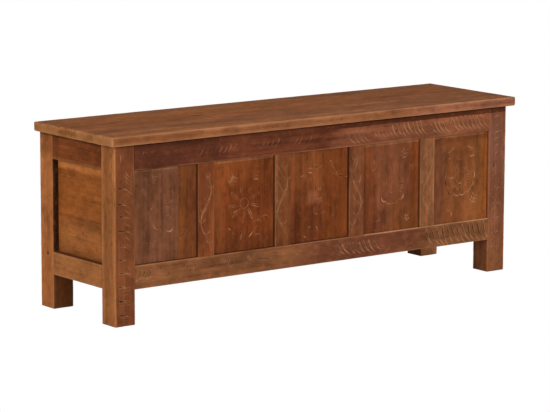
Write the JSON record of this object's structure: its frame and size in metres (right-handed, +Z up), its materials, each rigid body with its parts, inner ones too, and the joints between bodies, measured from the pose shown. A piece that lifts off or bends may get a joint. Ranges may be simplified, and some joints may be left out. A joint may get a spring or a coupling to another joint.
{
  "type": "coffer chest",
  "caption": "Long wooden coffer chest on square legs, with a framed and panelled body, a carved front and a hinged plank lid over one storage space.",
  "frame": {"origin": "on the floor, below the middle of the chest's outer box, hinge knuckles included", "axes": "+X along the chest to the right as seen from the front, +Y from front to back, +Z up"},
  "size_m": [1.1, 0.3075, 0.4],
  "materials": {
    "stained_wood": "satin reddish-brown stain",
    "plain_wood": "bare planed wood",
    "hinge_steel": "dull zinc",
    "screw_steel": "bright zinc"
  },
  "bodies": {
    "chest": {"back_bottom_rail": "stained_wood", "back_muntin_1": "stained_wood", "back_muntin_2": "stained_wood", "back_panel_1": "stained_wood", "back_panel_2": "stained_wood", "back_panel_3": "stained_wood", "back_top_rail": "stained_wood", "cleat_screws": "screw_steel", "floor_board_1": "plain_wood", "floor_board_2": "plain_wood", "floor_board_3": "plain_wood", "floor_cleat_back": "plain_wood", "floor_cleat_front": "plain_wood", "floor_cleat_left": "plain_wood", "floor_cleat_right": "plain_wood", "front_bottom_rail": "stained_wood", "front_muntin_1": "stained_wood", "front_muntin_2": "stained_wood", "front_muntin_3": "stained_wood", "front_muntin_4": "stained_wood", "front_panel_1_left": "stained_wood", "front_panel_1_right": "stained_wood", "front_panel_2": "stained_wood", "front_panel_3_left": "stained_wood", "front_panel_3_right": "stained_wood", "front_panel_4": "stained_wood", "front_panel_5": "stained_wood", "front_top_rail": "stained_wood", "hinge_frame_screws": "screw_steel", "hinge_left_frame_leaf": "hinge_steel", "hinge_left_pin": "hinge_steel", "hinge_right_frame_leaf": "hinge_steel", "hinge_right_pin": "hinge_steel", "left_bottom_rail": "stained_wood", "left_panel": "stained_wood", "left_top_rail": "stained_wood", "leg_back_left": "stained_wood", "leg_back_right": "stained_wood", "leg_front_left": "stained_wood", "leg_front_right": "stained_wood", "right_bottom_rail": "stained_wood", "right_panel": "stained_wood", "right_top_rail": "stained_wood"},
    "lid": {"batten_screws": "screw_steel", "hinge_left_lid_leaf": "hinge_steel", "hinge_lid_screws": "screw_steel", "hinge_right_lid_leaf": "hinge_steel", "lid_batten_left": "plain_wood", "lid_batten_middle": "plain_wood", "lid_batten_right": "plain_wood", "lid_plank_1": "stained_wood", "lid_plank_2": "stained_wood", "lid_plank_3": "stained_wood", "lid_plank_4": "stained_wood"}
  },
  "joints": [
    {"name": "lid_hinge", "type": "hinge", "parent": "chest", "child": "lid", "pos_m": [0, 0.15025, 0.37975], "axis": [-1, 0, 0], "range_deg": [0, 100]}
  ]
}
